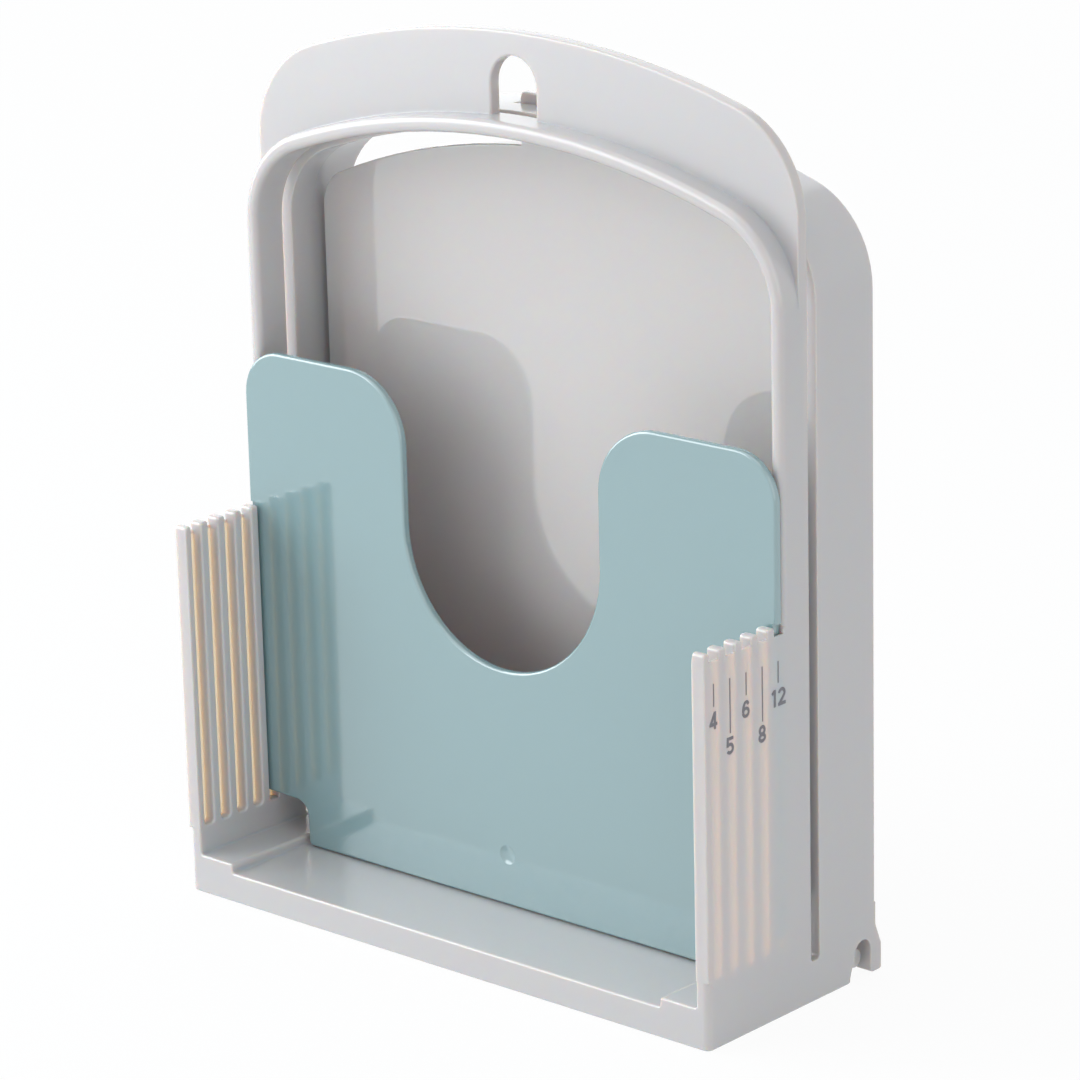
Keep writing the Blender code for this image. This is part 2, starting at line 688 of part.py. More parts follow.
def new_collection(name):
    """A collection in the scene."""
    collection = bpy.data.collections.new(name)
    bpy.context.scene.collection.children.link(collection)
    return collection


CONSTRUCTION = "cutters_and_forms"


def main():
    """Build the three parts and stand the guide over the origin."""
    for item in list(bpy.data.objects):
        bpy.data.objects.remove(item)
    parts = new_collection("bread_slicer_guide")
    new_collection(CONSTRUCTION)
    centre = bpy.data.objects.new("guide_centre", None)
    centre.location = (0, -HOOK_REAR / 2, 0)
    parts.objects.link(centre)
    finish(make_body(), "body", body_plastic(), (0, 0, 0), centre, parts)
    plate_origin = (0, LAST_GROOVE, FLOOR_HEIGHT + PLATE_GAP)
    finish(make_plate(), "stopper_plate", plate_plastic(), plate_origin, centre, parts)
    finish(make_tray(), "tray", tray_plastic(), (0, HINGE_Y, HINGE_HEIGHT), centre, parts)
    bpy.context.view_layer.update()


main()
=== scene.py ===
"""Looks of the folding bread slicer guide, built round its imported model.

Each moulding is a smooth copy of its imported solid, dressed as the real plastic. The numbers and
lines of the slice scale are printed on the right comb. Lengths are in metres. Places along the
guide are measured from its front edge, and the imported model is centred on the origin.
"""

import logging
from dataclasses import dataclass, field
from enum import Enum
from math import cos, radians, sin
from typing import Any, Mapping, Optional, Sequence, Union

import bmesh
import bpy
from mathutils import Matrix, Vector


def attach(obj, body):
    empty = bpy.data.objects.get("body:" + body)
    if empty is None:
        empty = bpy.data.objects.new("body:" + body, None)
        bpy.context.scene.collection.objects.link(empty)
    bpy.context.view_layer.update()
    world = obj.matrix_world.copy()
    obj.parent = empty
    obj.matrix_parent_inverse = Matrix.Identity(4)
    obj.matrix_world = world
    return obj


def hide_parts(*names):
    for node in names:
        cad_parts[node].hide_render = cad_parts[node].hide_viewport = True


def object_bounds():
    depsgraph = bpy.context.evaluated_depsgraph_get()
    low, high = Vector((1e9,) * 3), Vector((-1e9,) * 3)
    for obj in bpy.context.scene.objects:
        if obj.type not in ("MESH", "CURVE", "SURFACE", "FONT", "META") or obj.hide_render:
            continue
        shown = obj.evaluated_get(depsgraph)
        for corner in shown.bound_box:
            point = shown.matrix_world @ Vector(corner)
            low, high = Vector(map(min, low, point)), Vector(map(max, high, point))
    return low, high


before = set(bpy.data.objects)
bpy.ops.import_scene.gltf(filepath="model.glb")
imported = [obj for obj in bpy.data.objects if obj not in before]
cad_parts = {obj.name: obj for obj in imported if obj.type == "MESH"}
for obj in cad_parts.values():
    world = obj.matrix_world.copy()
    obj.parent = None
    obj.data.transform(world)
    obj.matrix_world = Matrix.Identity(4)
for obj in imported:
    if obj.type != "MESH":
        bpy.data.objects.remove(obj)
CAD_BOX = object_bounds()

HALF_WIDTH = round(CAD_BOX[1][0], 6)
FRONT_EDGE = round(CAD_BOX[0][1], 6)
LOG = logging.getLogger("bread_slicer_guide")

Colour = tuple[float, float, float]
Point = tuple[float, float]
DAYLIGHT: Colour = (0.93, 0.97, 1.0)
WHITE: Colour = (1.0, 1.0, 1.0)


class Operation(Enum):
    """Math operations that shader expressions use."""

    ADD = "ADD"
    SUBTRACT = "SUBTRACT"
    MULTIPLY = "MULTIPLY"
    ABSOLUTE = "ABSOLUTE"
    WRAP = "WRAP"


class Body(Enum):
    """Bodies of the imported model."""

    BODY = "body"
    PLATE = "stopper_plate"
    TRAY = "tray"


class Signal:
    """A shader value that takes part in Python arithmetic."""

    def __init__(self, graph: "Graph", socket: bpy.types.NodeSocket) -> None:
        """Wrap one output socket.

        Args:
            graph: the graph that new nodes go to.
            socket: the output that carries the value.
        """
        self.graph = graph
        self.socket = socket

    def __add__(self, other: "Operand") -> "Signal":
        """This value plus another."""
        return self.graph.math(Operation.ADD, self, other)

    def __radd__(self, other: "Operand") -> "Signal":
        """Another value plus this one."""
        return self.graph.math(Operation.ADD, other, self)

    def __sub__(self, other: "Operand") -> "Signal":
        """This value less another."""
        return self.graph.math(Operation.SUBTRACT, self, other)

    def __rsub__(self, other: "Operand") -> "Signal":
        """Another value less this one."""
        return self.graph.math(Operation.SUBTRACT, other, self)

    def __mul__(self, other: "Operand") -> "Signal":
        """This value times another."""
        return self.graph.math(Operation.MULTIPLY, self, other)

    def __rmul__(self, other: "Operand") -> "Signal":
        """Another value times this one."""
        return self.graph.math(Operation.MULTIPLY, other, self)

    def __abs__(self) -> "Signal":
        """This value without its sign."""
        return self.graph.math(Operation.ABSOLUTE, self)


Operand = Union[Signal, float, int]


class Graph:
    """The node tree of one material or world."""

    def __init__(self, tree: bpy.types.NodeTree) -> None:
        """Start from an empty tree.

        Args:
            tree: the node tree to fill.
        """
        self.tree = tree
        tree.nodes.clear()

    def node(
        self,
        kind: str,
        settings: Optional[Mapping[str, Any]] = None,
        inputs: Optional[Mapping[Union[str, int], Any]] = None,
    ) -> bpy.types.Node:
        """Add one node.

        Args:
            kind: Blender's type name of the node.
            settings: properties that are set first.
            inputs: a value or a Signal for each named or numbered socket.

        Returns:
            The new node.
        """
        made = self.tree.nodes.new(kind)
        for name, value in (settings or {}).items():
            setattr(made, name, value)
        for name, value in (inputs or {}).items():
            if isinstance(value, Signal):
                self.tree.links.new(value.socket, made.inputs[name])
            else:
                made.inputs[name].default_value = value
        return made

    def out(self, made: bpy.types.Node, name: Union[str, int] = 0) -> Signal:
        """One output of a node as a Signal."""
        return Signal(self, made.outputs[name])

    def math(self, operation: Operation, *values: Operand) -> Signal:
        """The result of one math operation on values.

        Args:
            operation: what to do.
            values: one to three operands.

        Returns:
            The result.
        """
        made = self.node("ShaderNodeMath", {"operation": operation.value}, dict(enumerate(values)))
        return self.out(made)

    def smooth_step(self, value: Signal, low: float, high: float) -> Signal:
        """A soft step from 0 at low to 1 at high.

        Args:
            value: the value that is compared.
            low: where the step starts.
            high: where the step ends; less than low for a falling step.

        Returns:
            The step, from 0 to 1.
        """
        rising = low < high
        made = self.node(
            "ShaderNodeMapRange",
            {"interpolation_type": "SMOOTHSTEP"},
            {
                "Value": value,
                "From Min": min(low, high),
                "From Max": max(low, high),
                "To Min": 0.0 if rising else 1.0,
                "To Max": 1.0 if rising else 0.0,
            },
        )
        return self.out(made)

    def mix(self, factor: Signal, low: Union[Signal, Colour], high: Union[Signal, Colour]) -> Signal:
        """A colour between two colours.

        Args:
            factor: 0 for the first colour, 1 for the second.
            low: the first colour.
            high: the second colour.

        Returns:
            The mixed colour.
        """
        first, second = (c if isinstance(c, Signal) else (*c, 1) for c in (low, high))
        made = self.node("ShaderNodeMix", {"data_type": "RGBA"}, {0: factor, 6: first, 7: second})
        return self.out(made, 2)

    def noise(self, place: Signal, grain: float, detail: float = 2.0) -> Signal:
        """Soft random values over the surface, 0 to 1.

        Args:
            place: the coordinates.
            grain: size of one patch in metres.
            detail: how many finer layers are added.

        Returns:
            The value.
        """
        made = self.node("ShaderNodeTexNoise", None, {"Vector": place, "Scale": 1 / grain, "Detail": detail})
        return self.out(made)

    def seen(self) -> Signal:
        """1 where the camera looks, directly, in gloss or through glass, and 0 where light is gathered."""
        path = self.node("ShaderNodeLightPath")
        direct = self.out(path, "Is Camera Ray") + self.out(path, "Is Glossy Ray")
        return direct + self.out(path, "Is Transmission Ray")


@dataclass(frozen=True)
class Finish:
    """What a surface is made of."""

    name: str

    def material(self) -> bpy.types.Material:
        """Build the material.

        Returns:
            The finished material.
        """
        made = bpy.data.materials.new(self.name)
        made.use_nodes = True
        graph = Graph(made.node_tree)
        place = graph.out(graph.node("ShaderNodeTexCoord"), "Object")
        graph.node("ShaderNodeOutputMaterial", None, {"Surface": self.surface(graph, place)})
        return made

    def surface(self, graph: Graph, place: Signal) -> Signal:
        """The shader of the whole surface.

        Args:
            graph: the material's graph.
            place: the object's own coordinates.

        Returns:
            The shader.
        """
        raise NotImplementedError


@dataclass(frozen=True)
class Plastic(Finish):
    """A moulded plastic: clean and glossy, with a faint orange peel and light under its surface."""

    colour: Colour
    roughness: float
    deep_colour: Colour
    subsurface: float = 0.0
    subsurface_reach: float = 0.0018
    reach_by_colour: Colour = (1.0, 0.58, 0.34)
    shine: float = 1.5
    cloud: float = 0.03
    cloud_grain: float = 0.035
    smudge: float = 0.05
    smudge_grain: float = 0.012
    peel_grain: float = 0.0011
    peel_height: float = 0.000004
    edge_radius: float = 0.00018
    edge_samples: int = 6

    def surface(self, graph: Graph, place: Signal) -> Signal:
        """The plastic's shader.

        Args:
            graph: the material's graph.
            place: the object's own coordinates.

        Returns:
            The shader.
        """
        depth = {
            "Subsurface Weight": self.subsurface,
            "Subsurface Radius": self.reach_by_colour,
            "Subsurface Scale": self.subsurface_reach,
        }
        return self.moulded(graph, place, self.shade(graph, place), depth)

    def moulded(self, graph: Graph, place: Signal, colour: Signal, depth: Mapping[str, Any]) -> Signal:
        """A glossy plastic shader with a given colour and depth of light.

        Args:
            graph: the material's graph.
            place: the object's own coordinates.
            colour: the colour over the surface.
            depth: the sockets that say how light goes under the surface.

        Returns:
            The shader.
        """
        smudges = graph.noise(place, self.smudge_grain, detail=3.0)
        roughness = self.roughness * (1 - self.smudge) + smudges * (2 * self.smudge * self.roughness)
        bevel = graph.node("ShaderNodeBevel", {"samples": self.edge_samples}, {"Radius": self.edge_radius})
        peel = graph.noise(place, self.peel_grain, detail=1.0)
        bump = graph.node(
            "ShaderNodeBump", None,
            {"Height": peel, "Distance": self.peel_height, "Strength": 1.0, "Normal": graph.out(bevel)})
        shader = graph.node(
            "ShaderNodeBsdfPrincipled",
            None,
            {
                "Base Color": colour,
                "Roughness": roughness,
                "Metallic": 0.0,
                "IOR": self.shine,
                "Normal": graph.out(bump),
                **depth,
            },
        )
        return graph.out(shader)

    def shade(self, graph: Graph, place: Signal) -> Signal:
        """The colour over the surface, with a faint cloudiness.

        Args:
            graph: the material's graph.
            place: the object's own coordinates.

        Returns:
            The colour.
        """
        clouds = graph.noise(place, self.cloud_grain)
        return graph.mix(clouds * self.cloud, self.colour, self.deep_colour)


@dataclass(frozen=True)
class CombedPlastic(Plastic):
    """The body's plastic, which lets light through the thin skins behind the combs' grooves, and has a tan
    glow of that light also painted into the skins' colour.
    """

    # painted glow: tan colour of light shining through the thin skins, painted onto them
    painted_glow_colour: Colour = (0.85, 0.73, 0.63)
    glow_weight: float = 1.0
    glow_reach: float = 0.0020
    glow_by_colour: Colour = (1.0, 0.86, 0.68)
    skin: float = 0.0006
    glow_depth: float = 0.0018
    first_groove: float = 0.0031
    pitch: float = 0.0050
    groove_half: float = 0.00135
    grooves: int = 5
    low: float = 0.0150
    high: float = 0.0797
    blur: float = 0.0003

    def skins(self, graph: Graph, place: Signal) -> Signal:
        """Mask of the thin skins' inner faces and of the groove walls beside them, where the tan glow is
        painted.

        Args:
            graph: the material's graph.
            place: the object's own coordinates.

        Returns:
            The mask, 1 in a groove's depth and 0 on the comb's outer face.
        """
        parts = graph.node("ShaderNodeSeparateXYZ", None, {"Vector": place})
        across = abs(graph.out(parts, "X"))
        along = graph.out(parts, "Y") - FRONT_EDGE
        height = graph.out(parts, "Z")
        half_pitch = self.pitch / 2
        local = graph.math(Operation.WRAP, along - self.first_groove, half_pitch, -half_pitch)
        edge = self.groove_half + self.blur
        stripe = graph.smooth_step(abs(local), edge + self.blur, edge)
        last = self.first_groove + (self.grooves - 0.5) * self.pitch
        stripe = stripe * graph.smooth_step(along, last, last - self.blur)
        stripe = stripe * graph.smooth_step(height, self.low - self.blur, self.low + self.blur)
        stripe = stripe * graph.smooth_step(height, self.high + self.blur, self.high - self.blur)
        inner_face = HALF_WIDTH - self.skin
        # the painted glow fades out across the groove walls within glow_depth of the skin's inner face
        deep = graph.smooth_step(across, inner_face - self.glow_depth, inner_face - self.blur)
        outside = graph.smooth_step(across, HALF_WIDTH - self.skin / 2, HALF_WIDTH - self.skin / 4)
        return stripe * deep * (1 - outside)

    def surface(self, graph: Graph, place: Signal) -> Signal:
        """The body's shader, with a clearer one on the thin skins, whose colour is a painted tan glow.

        Args:
            graph: the material's graph.
            place: the object's own coordinates.

        Returns:
            The shader.
        """
        # painted glow: the skins' colour is tinted tan where light shines through them; the subsurface light
        # below is real
        painted_glow_tint = graph.mix(graph.noise(place, self.cloud_grain) * self.cloud, self.painted_glow_colour, self.colour)
        depth = {
            "Subsurface Weight": self.glow_weight,
            "Subsurface Radius": self.glow_by_colour,
            "Subsurface Scale": self.glow_reach,
        }
        skin = self.moulded(graph, place, painted_glow_tint, depth)
        mixed = graph.node(
            "ShaderNodeMixShader", None,
            {0: self.skins(graph, place), 1: super().surface(graph, place), 2: skin})
        return graph.out(mixed)


@dataclass(frozen=True)
class Ink(Finish):
    """Flat printed ink, with slightly uneven cover."""

    colour: Colour = (0.165, 0.155, 0.175)
    thin_colour: Colour = (0.23, 0.22, 0.235)
    roughness: float = 0.45
    roughness_spread: float = 0.1
    speck: float = 0.0004

    def surface(self, graph: Graph, place: Signal) -> Signal:
        """The ink's shader.

        Args:
            graph: the material's graph.
            place: the object's own coordinates.

        Returns:
            The shader.
        """
        cover = graph.noise(place, self.speck, detail=3.0)
        shader = graph.node(
            "ShaderNodeBsdfPrincipled",
            None,
            {
                "Base Color": graph.mix(cover, self.colour, self.thin_colour),
                "Roughness": self.roughness + cover * self.roughness_spread,
            },
        )
        return graph.out(shader)


@dataclass(frozen=True)
class FloorPaper(Finish):
    """Pale paper that takes the guide's shadow and otherwise looks white."""

    albedo: float = 0.90
    glow: float = 0.93

    def surface(self, graph: Graph, place: Signal) -> Signal:
        """The paper's shader.

        Args:
            graph: the material's graph.
            place: the object's own coordinates, which plain paper doesn't use.

        Returns:
            The shader.
        """
        paper = graph.node("ShaderNodeBsdfDiffuse", None, {"Color": (*[self.albedo] * 3, 1)})
        white = graph.node("ShaderNodeEmission", None, {"Color": (*WHITE, 1), "Strength": 1.0})
        mixed = graph.node(
            "ShaderNodeMixShader", None,
            {0: graph.seen() * self.glow, 1: graph.out(paper), 2: graph.out(white)})
        return graph.out(mixed)


def add_object(name: str, data: bpy.types.ID) -> bpy.types.Object:
    """Put a new object in the scene.

    Args:
        name: its name.
        data: its mesh, curve, lamp or camera.

    Returns:
        The object.
    """
    made = bpy.data.objects.new(name, data)
    bpy.context.scene.collection.objects.link(made)
    return made


@dataclass
class Moulding:
    """One moulded piece: a welded, smooth-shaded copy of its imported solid."""

    node: str
    body: Body
    slot: str
    finish: Finish
    weld: float = 0.000002
    flat_angle: float = radians(0.2)
    sharp_angle: float = radians(32)
    face_weight: int = 80
    piece: Optional[bpy.types.Object] = field(default=None, init=False)

    def build(self) -> bpy.types.Object:
        """Copy the solid, trim it and shade its round stretches smoothly.

        Returns:
            The new piece, in place.
        """
        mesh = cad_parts[self.node].data.copy()
        mesh.name = self.node + "_shell"
        self.piece = add_object(mesh.name, mesh)
        self.join_faces()
        self.trim()
        self.smooth()
        return self.piece

    def join_faces(self) -> None:
        """Weld the corners and join the triangles of each flat face."""
        work = bmesh.new()
        work.from_mesh(self.piece.data)
        bmesh.ops.remove_doubles(work, verts=work.verts, dist=self.weld)
        bmesh.ops.dissolve_limit(
            work, angle_limit=self.flat_angle, verts=work.verts, edges=work.edges)
        bmesh.ops.recalc_face_normals(work, faces=work.faces)
        work.to_mesh(self.piece.data)
        work.free()

    def trim(self) -> None:
        """Work on the shape before it is smoothed. A plain moulding needs nothing."""

    def smooth(self) -> None:
        """Shade round stretches smoothly and keep the sharp edges."""
        mesh = self.piece.data
        if "custom_normal" in mesh.attributes:
            mesh.attributes.remove(mesh.attributes["custom_normal"])
        mesh.shade_smooth()
        mesh.set_sharp_from_angle(angle=self.sharp_angle)
        weighted = self.piece.modifiers.new("weighted_normals", "WEIGHTED_NORMAL")
        weighted.keep_sharp = True
        weighted.weight = self.face_weight

    def dress(self) -> None:
        """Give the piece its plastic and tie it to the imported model."""
        self.piece.data.materials.clear()
        self.piece.data.materials.append(self.finish.material())
        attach(self.piece, self.body.value)
        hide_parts(self.node)


@dataclass
class BodyMoulding(Moulding):
    """The body, whose arch rim stays round down to the combs.

    The solid's own round rim starts above leg_top, where the arch begins to bend. The cut goes on
    to bend_end, where the leg has moved in by bend_shift, so that the two meet.
    """

    wall: float = 0.0031
    arch_front: float = 0.02445
    rim_radius: float = 0.0013
    comb_top: float = 0.0804
    leg_top: float = 0.144039
    bend_end: float = 0.14606
    bend_shift: float = 0.000113
    spare: float = 0.0004
    rim_steps: int = 6

    def trim(self) -> None:
        """Round the front edges of the arch's legs."""
        cutters = [
            self.cutter(side, edge, lean)
            for side in (-1, 1)
            for edge, lean in ((HALF_WIDTH - self.wall, 1), (HALF_WIDTH, -1))
        ]
        for cutter in cutters:
            cut = self.piece.modifiers.new("round_rim", "BOOLEAN")
            cut.operation = "DIFFERENCE"
            cut.object = cutter
        bpy.context.view_layer.update()
        graph = bpy.context.evaluated_depsgraph_get()
        self.piece.data = bpy.data.meshes.new_from_object(self.piece.evaluated_get(graph))
        self.piece.modifiers.clear()
        for cutter in cutters:
            bpy.data.objects.remove(cutter)
        self.join_faces()

    def ring(self, side: int, edge: float, lean: int, height: float) -> list[Vector]:
        """Outline of what is cut from one leg's front edge at one height.

        Args:
            side: -1 for the left leg, 1 for the right one.
            edge: distance of the edge from the middle.
            lean: 1 where the leg lies outside the edge, -1 where it lies inside.
            height: height above the table.

        Returns:
            The outline, round the edge.
        """
        front = FRONT_EDGE + self.arch_front
        arc = []
        for step in range(self.rim_steps + 1):
            angle = radians(90 * step / self.rim_steps)
            across = edge + lean * self.rim_radius * (1 - sin(angle))
            arc.append((across, front + self.rim_radius * (1 - cos(angle))))
        away = edge - lean * self.spare
        arc += [(away, front + self.rim_radius), (away, front - self.spare)]
        arc.append((edge + lean * self.rim_radius, front - self.spare))
        return [Vector((side * across, along, height)) for across, along in arc]

    def cutter(self, side: int, edge: float, lean: int) -> bpy.types.Object:
        """The solid that rounds one edge of one leg.

        Args:
            side: -1 for the left leg, 1 for the right one.
            edge: distance of the edge from the middle.
            lean: 1 where the leg lies outside the edge, -1 where it lies inside.

        Returns:
            The cutter.
        """
        rings = [
            self.ring(side, edge, lean, self.comb_top + self.rim_radius),
            self.ring(side, edge, lean, self.leg_top),
            self.ring(side, edge - self.bend_shift, lean, self.bend_end),
        ]
        work = bmesh.new()
        rows = [[work.verts.new(point) for point in ring] for ring in rings]
        for low, high in zip(rows, rows[1:]):
            for i, corner in enumerate(low):
                after = (i + 1) % len(low)
                work.faces.new((corner, low[after], high[after], high[i]))
        work.faces.new(rows[0])
        work.faces.new(rows[-1])
        bmesh.ops.recalc_face_normals(work, faces=work.faces)
        mesh = bpy.data.meshes.new("rim_cutter")
        work.to_mesh(mesh)
        work.free()
        return add_object(mesh.name, mesh)


@dataclass(frozen=True)
class ScaleMark:
    """One groove's line and number on the slice scale."""

    number: str
    line_length: float
    number_top: float


@dataclass(frozen=True)
class Numeral:
    """Plain numerals drawn with one pen, in a cell of height 1."""

    width: float = 0.66
    pen: float = 0.19
    bow_steps: int = 20

    @property
    def low(self) -> float:
        """Height of a stroke along the cell's foot, and its distance from the left edge."""
        return self.pen / 2

    @property
    def high(self) -> float:
        """Height of a stroke along the cell's top."""
        return 1 - self.low

    @property
    def middle(self) -> float:
        """Middle of the cell's width."""
        return self.width / 2

    @property
    def half(self) -> float:
        """Half width of a bow that fills the cell."""
        return (self.width - self.pen) / 2

    def bow(self, centre: Point, reach: Point, start: float, end: float) -> list[Point]:
        """Points along part of an ellipse.

        Args:
            centre: its middle.
            reach: its half width and half height.
            start: first angle in degrees, from the right and counter-clockwise.
            end: last angle in degrees.

        Returns:
            The points.
        """
        angles = [radians(start + (end - start) * i / self.bow_steps) for i in range(self.bow_steps + 1)]
        return [(centre[0] + reach[0] * cos(a), centre[1] + reach[1] * sin(a)) for a in angles]

    def one(self) -> list[list[Point]]:
        """The strokes of 1: a stem and a flag."""
        stem = self.middle + 0.08
        flag_tip, flag_root = (self.middle - 0.16, 0.76), (self.middle + 0.04, 0.91)
        return [[(stem, 1.0), (stem, 0.0)], [flag_tip, flag_root]]

    def two(self) -> list[list[Point]]:
        """The strokes of 2: a neck, a slant and a foot."""
        neck_height = 0.68
        neck = self.bow((self.middle, neck_height), (self.half, self.high - neck_height), 170, -38)
        slant = [neck[-1], (self.low + 0.02, self.low)]
        foot = [(0.0, self.low), (self.width, self.low)]
        return [neck, slant, foot]

    def four(self) -> list[list[Point]]:
        """The strokes of 4: a stem, a slant and a bar."""
        stem = self.middle + 0.13
        bar = 0.28
        slant = [(stem - 0.02, self.high), (self.low - 0.01, bar + 0.02)]
        return [[(stem, 1.0), (stem, 0.0)], slant, [(0.0, bar), (self.width, bar)]]

    def five(self) -> list[list[Point]]:
        """The strokes of 5: a roof, a wall and a bowl."""
        bowl_height = 0.335
        roof = [(self.width - 0.04, self.high), (self.low, self.high)]
        wall = [(self.low + 0.06, 1.0), (self.low + 0.03, 0.44)]
        bowl = self.bow((self.middle, bowl_height), (self.half, bowl_height - self.low), 140, -150)
        return [roof, wall, bowl]

    def six(self) -> list[list[Point]]:
        """The strokes of 6: a bowl and a back."""
        bowl_height, back_height = 0.32, 0.40
        swell = 0.03
        bowl = self.bow((self.middle, bowl_height), (self.half, bowl_height - self.low), 180, -180)
        reach = (self.half + swell, self.high - back_height)
        back = self.bow((self.middle + swell, back_height), reach, 180, 42)
        return [bowl, back]

    def eight(self) -> list[list[Point]]:
        """The stroke of 8: an upper and a lower ring."""
        upper_height, lower_height = 0.70, 0.275
        waist = 0.03
        reach = (self.half - waist, self.high - upper_height)
        upper = self.bow((self.middle, upper_height), reach, -90, 270)
        lower = self.bow((self.middle, lower_height), (self.half, lower_height - self.low), 90, 450)
        return [upper + lower]

    def strokes(self, figure: str) -> list[list[Point]]:
        """The pen strokes of one figure.

        Args:
            figure: one of the figures on the scale.

        Returns:
            Each stroke's points.
        """
        drawn = {
            "1": self.one, "2": self.two, "4": self.four, "5": self.five, "6": self.six, "8": self.eight,
        }
        return drawn[figure]()


@dataclass
class SliceScale:
    """Numbers and lines printed on the outside of the right comb."""

    ink: Ink
    numeral: Numeral = Numeral()
    first: float = 0.00285
    pitch: float = 0.00497
    number_lead: float = 0.00015
    line_top: float = 0.0759
    line_width: float = 0.00036
    row_drop: float = 0.00015
    cap_height: float = 0.0036
    figure_gap: float = 0.00010
    film: float = 0.00002
    edge_steps: int = 2
    marks: tuple[ScaleMark, ...] = (
        ScaleMark("4", 0.0047, 0.0702),
        ScaleMark("5", 0.0113, 0.0639),
        ScaleMark("6", 0.0047, 0.0702),
        ScaleMark("8", 0.0113, 0.0639),
        ScaleMark("12", 0.0045, 0.0702),
    )
    pieces: list[bpy.types.Object] = field(default_factory=list, init=False)

    def placed(self, along: float, height: float) -> Matrix:
        """A frame on the comb's outer face, x to the rear and y up.

        Args:
            along: distance from the guide's front edge.
            height: height above the table.

        Returns:
            The frame as a matrix.
        """
        turn = Matrix(((0, 0, 1, 0), (1, 0, 0, 0), (0, 1, 0, 0), (0, 0, 0, 1)))
        return Matrix.Translation((HALF_WIDTH, FRONT_EDGE + along, height)) @ turn

    def printed(
        self, name: str, strokes: Sequence[Sequence[Point]], pen: float, place: Matrix
    ) -> bpy.types.Object:
        """A film of ink along pen strokes.

        Args:
            name: name of the piece.
            strokes: points of each stroke, in metres on the face.
            pen: width of the strokes.
            place: the frame that they are drawn in.

        Returns:
            The piece.
        """
        curve = bpy.data.curves.new(name, "CURVE")
        curve.dimensions = "3D"
        curve.bevel_depth = pen / 2
        curve.bevel_resolution = self.edge_steps
        curve.use_fill_caps = True
        for stroke in strokes:
            spline = curve.splines.new("POLY")
            spline.points.add(len(stroke) - 1)
            for point, (x, y) in zip(spline.points, stroke):
                point.co = (x, y, 0, 1)
        guide = add_object(name + "_guide", curve)
        bpy.context.view_layer.update()
        graph = bpy.context.evaluated_depsgraph_get()
        mesh = bpy.data.meshes.new_from_object(guide.evaluated_get(graph))
        bpy.data.objects.remove(guide)
        mesh.name = name
        mesh.transform(place @ Matrix.Diagonal((1, 1, self.film / (pen / 2), 1)))
        return add_object(name, mesh)

    def line(self, mark: ScaleMark, along: float, top: float) -> bpy.types.Object:
        """A thin upright line above its number.

        Args:
            mark: the mark that it belongs to.
            along: distance from the guide's front edge.
            top: height of its upper end.

        Returns:
            The line.
        """
        ends = [(0.0, 0.0), (0.0, -mark.line_length)]
        return self.printed("scale_line_" + mark.number, [ends], self.line_width, self.placed(along, top))

    def number(self, mark: ScaleMark, along: float, top: float) -> bpy.types.Object:
        """A printed number, centred under its line.

        Args:
            mark: the mark that it belongs to.
            along: distance from the guide's front edge to its middle.
            top: height of its upper edge.

        Returns:
            The number.
        """
        cell = self.numeral.width * self.cap_height
        start = -(len(mark.number) * (cell + self.figure_gap) - self.figure_gap) / 2
        strokes = []
        for i, figure in enumerate(mark.number):
            left = start + i * (cell + self.figure_gap)
            for stroke in self.numeral.strokes(figure):
                strokes.append([(left + x * self.cap_height, (y - 1) * self.cap_height) for x, y in stroke])
        pen = self.numeral.pen * self.cap_height
        return self.printed("scale_number_" + mark.number, strokes, pen, self.placed(along, top))

    def build(self) -> list[bpy.types.Object]:
        """Make every line and number.

        Returns:
            The pieces.
        """
        for i, mark in enumerate(self.marks):
            along = self.first + i * self.pitch
            drop = i * self.row_drop
            self.pieces.append(self.line(mark, along, self.line_top - drop))
            self.pieces.append(self.number(mark, along - self.number_lead, mark.number_top - drop))
        return self.pieces

    def dress(self, slot: str) -> None:
        """Ink every piece and tie it to the body.

        Args:
            slot: not used.
        """
        ink = self.ink.material()
        for piece in self.pieces:
            piece.data.materials.clear()
            piece.data.materials.append(ink)
            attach(piece, Body.BODY.value)


@dataclass
class Softbox:
    """A large square lamp, placed by its direction from what it faces."""

    name: str
    azimuth: float
    elevation: float
    distance: float
    size: float
    power: float
    colour: Colour = DAYLIGHT

    def build(self, target: Vector) -> bpy.types.Object:
        """Hang the lamp so that it faces a point.

        Args:
            target: what the lamp faces.

        Returns:
            The lamp.
        """
        lamp = bpy.data.lights.new(self.name, "AREA")
        lamp.shape = "SQUARE"
        lamp.size = self.size
        lamp.energy = self.power
        lamp.color = self.colour
        made = add_object(self.name, lamp)
        side, rise = radians(self.azimuth), radians(self.elevation)
        away = Vector((sin(side) * cos(rise), -cos(side) * cos(rise), sin(rise)))
        made.location = target + away * self.distance
        made.rotation_euler = away.to_track_quat("Z", "Y").to_euler()
        return made


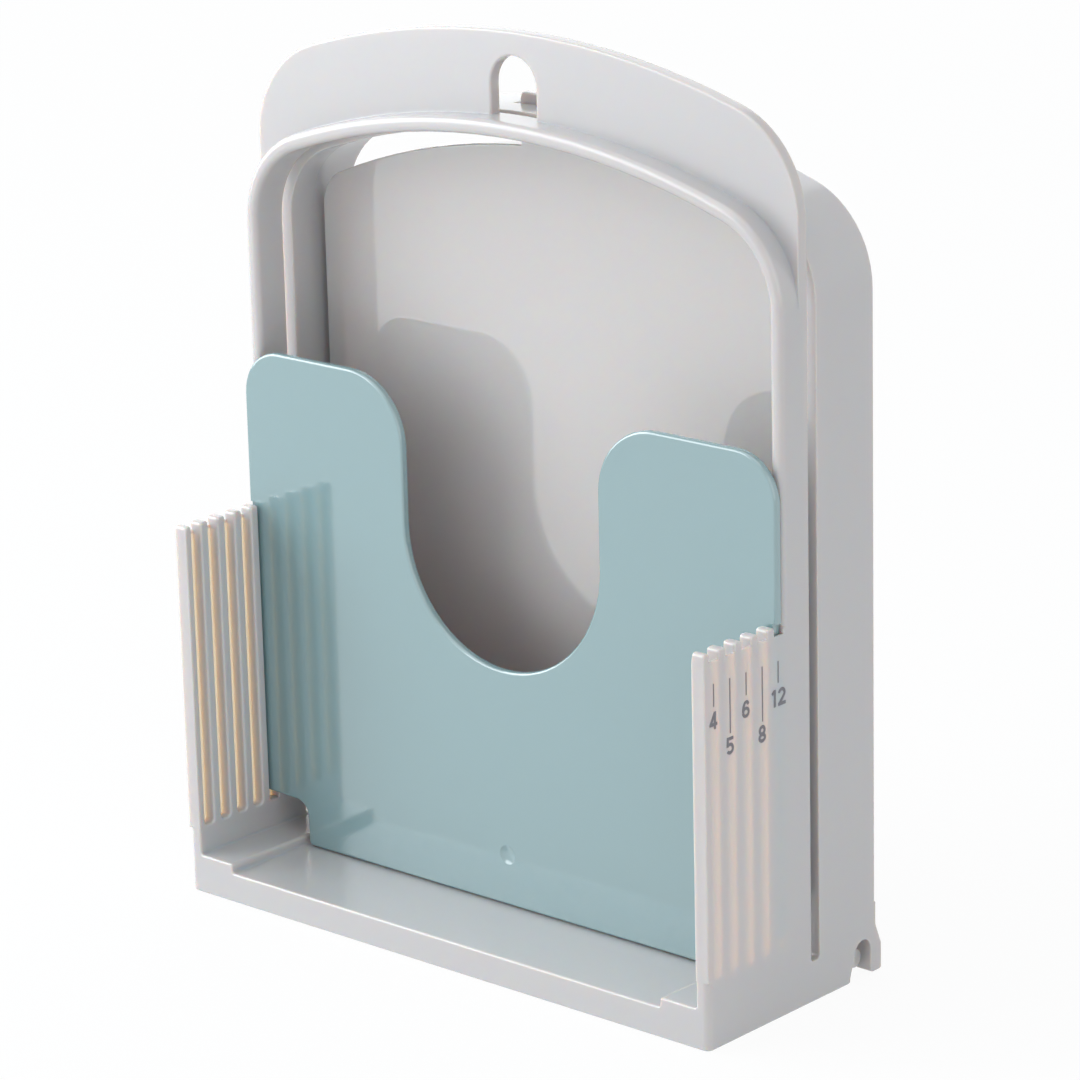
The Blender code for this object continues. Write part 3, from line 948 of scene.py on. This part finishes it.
@dataclass
class Studio:
    """Camera, lamps, floor and white surroundings.

    The camera looks towards target from distance, and aim_right and aim_up are the target's place
    beside the picture's middle.
    """

    image_pixels: float = 1080.0
    sensor: float = 36.0
    focal_pixels: float = 4550.58
    yaw: float = radians(41.907)
    pitch: float = radians(16.697)
    roll: float = radians(-1.406)
    target: Vector = field(default_factory=lambda: Vector((0.0, 0.027, 0.105)))
    distance: float = 0.93014
    aim_right: float = -0.00563
    aim_up: float = 0.018372
    view_end: float = 100.0
    lamp_target: Vector = field(default_factory=lambda: Vector((0.0, 0.0, 0.09)))
    floor_size: float = 6.0
    surround_light: float = 0.52
    paper: FloorPaper = FloorPaper("pale_floor")

    def camera(self) -> bpy.types.Object:
        """Put the camera where the photograph was taken.

        Returns:
            The camera.
        """
        ahead = Vector((
            -sin(self.yaw) * cos(self.pitch), cos(self.yaw) * cos(self.pitch), -sin(self.pitch)))
        level = Vector((cos(self.yaw), sin(self.yaw), 0.0))
        rise = level.cross(ahead)
        right = cos(self.roll) * level + sin(self.roll) * rise
        up = cos(self.roll) * rise - sin(self.roll) * level
        place = self.target - ahead * self.distance - right * self.aim_right - up * self.aim_up
        place.y += FRONT_EDGE
        data = bpy.data.cameras.new("camera")
        data.sensor_width = self.sensor
        data.lens = self.sensor * self.focal_pixels / self.image_pixels
        data.clip_end = self.view_end
        made = add_object("camera", data)
        turn = Matrix((right, up, -ahead)).transposed().to_4x4()
        made.matrix_world = Matrix.Translation(place) @ turn
        bpy.context.scene.camera = made
        return made

    def lamps(self) -> list[bpy.types.Object]:
        """Hang the lamps.

        Returns:
            The lamps.
        """
        boxes = (
            Softbox("key_softbox", azimuth=-48.0, elevation=19.0, distance=1.05, size=0.9, power=6.1),
            Softbox("right_softbox", azimuth=70.0, elevation=20.0, distance=1.5, size=1.2, power=3.7),
            Softbox("left_softbox", azimuth=-70.0, elevation=20.0, distance=1.3, size=1.0, power=6.0),
            Softbox("top_softbox", azimuth=10.0, elevation=80.0, distance=1.4, size=1.2, power=4.0),
            Softbox("back_softbox", azimuth=-140.0, elevation=20.0, distance=1.4, size=1.2, power=3.0),
        )
        return [box.build(self.lamp_target) for box in boxes]

    def surroundings(self) -> None:
        """White seen directly and in reflections, softer as light on the guide."""
        world = bpy.data.worlds.new("white_tent")
        world.use_nodes = True
        graph = Graph(world.node_tree)
        light = graph.node(
            "ShaderNodeBackground", None, {"Color": (*DAYLIGHT, 1), "Strength": self.surround_light})
        white = graph.node("ShaderNodeBackground", None, {"Color": (*WHITE, 1), "Strength": 1.0})
        mixed = graph.node(
            "ShaderNodeMixShader", None, {0: graph.seen(), 1: graph.out(light), 2: graph.out(white)})
        graph.node("ShaderNodeOutputWorld", None, {"Surface": graph.out(mixed)})
        bpy.context.scene.world = world

    def floor(self) -> bpy.types.Object:
        """A pale floor that keeps the guide's shadow.

        Returns:
            The floor.
        """
        mesh = bpy.data.meshes.new("floor")
        work = bmesh.new()
        bmesh.ops.create_grid(work, x_segments=1, y_segments=1, size=self.floor_size / 2)
        work.to_mesh(mesh)
        work.free()
        made = add_object("floor", mesh)
        mesh.materials.append(self.paper.material())
        return made

    def build(self) -> None:
        """Set up the whole studio."""
        self.camera()
        self.lamps()
        self.surroundings()
        self.floor()
        bpy.context.scene.view_settings.view_transform = "Standard"


def main() -> None:
    """Build and dress every piece, then the studio."""
    logging.basicConfig(level=logging.INFO, format="%(name)s: %(message)s")
    grey = (0.585, 0.568, 0.570)
    tray_grey = (0.618, 0.608, 0.60)
    deep_grey = (0.54, 0.52, 0.50)
    teal = (0.231, 0.366, 0.385)
    deep_teal = (0.19, 0.32, 0.34)
    mouldings = (
        BodyMoulding(
            "body", Body.BODY, "body_plastic",
            CombedPlastic(
                "body_plastic_look", grey, 0.22, deep_grey, subsurface=0.9, subsurface_reach=0.0026,
                shine=1.95, edge_radius=0.0005)),
        Moulding(
            "stopper_plate", Body.PLATE, "plate_plastic",
            Plastic("plate_plastic_look", teal, 0.07, deep_teal, subsurface=0.15, shine=2.3)),
        Moulding(
            "tray", Body.TRAY, "tray_plastic",
            Plastic(
                "tray_plastic_look", tray_grey, 0.04, deep_grey, subsurface=1.0, subsurface_reach=0.003,
                shine=2.0)),
    )
    for moulding in mouldings:
        moulding.build()
        moulding.dress()
        LOG.info("%s: %d faces", moulding.node, len(moulding.piece.data.polygons))
    scale = SliceScale(Ink("scale_ink"))
    scale.build()
    scale.dress("body_plastic")
    LOG.info("slice scale: %d marks", len(scale.pieces))
    Studio().build()


if __name__ == "__main__":
    main()
